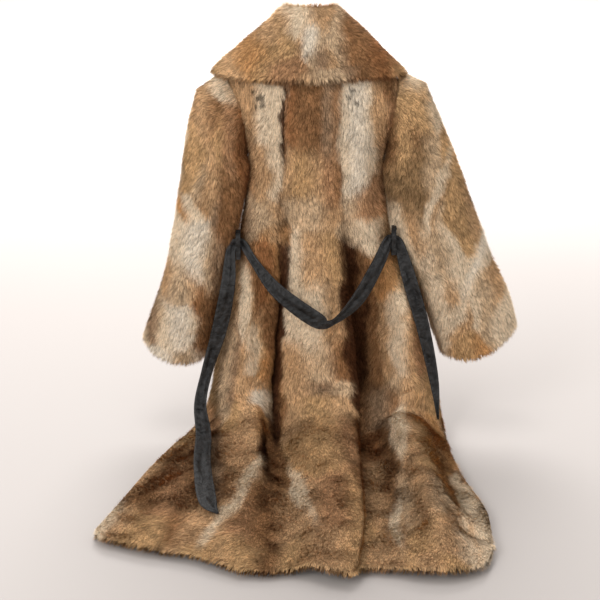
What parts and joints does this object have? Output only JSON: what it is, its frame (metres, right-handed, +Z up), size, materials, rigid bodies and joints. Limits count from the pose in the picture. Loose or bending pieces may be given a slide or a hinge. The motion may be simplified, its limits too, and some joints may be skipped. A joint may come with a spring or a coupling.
{
  "type": "fur coat on a hanger",
  "caption": "Full-length fur coat hung on a plain hanger, seen from its back, with a cape-like collar, slack leather belt and a skirt that trails on the floor.",
  "frame": {"origin": "the point where the inside of the hanger's hook bears on its rail", "axes": "+Z up, +X towards the wearer's right, -Y the side of the coat's back, over which the trailing hem lies"},
  "size_m": [0.838, 0.7515, 0.954],
  "materials": {
    "fur": "dense agouti rabbit fur in mixed brown, grey-brown and cream pelts",
    "lining": "black satin lining, a little sheen",
    "belt_leather": "soft black leather, wrinkled, edge stitched",
    "hanger_wood": "satin varnished beech",
    "hook_wire": "plated wire"
  },
  "bodies": {
    "root": {"collar": "fur", "back_bodice": "fur", "back_skirt_left": "fur", "back_skirt_centre": "fur", "back_skirt_right": "fur", "front_bodice_left": "fur", "front_bodice_right": "fur", "front_skirt_left": "fur", "front_skirt_right": "fur", "sleeve_left": "fur", "sleeve_right": "fur", "sleeve_lining_left": "lining", "sleeve_lining_right": "lining", "belt": "belt_leather", "belt_loop_left": "belt_leather", "belt_loop_right": "belt_leather", "hanger": "hanger_wood", "hanger_hook": "hook_wire"}
  },
  "joints": []
}
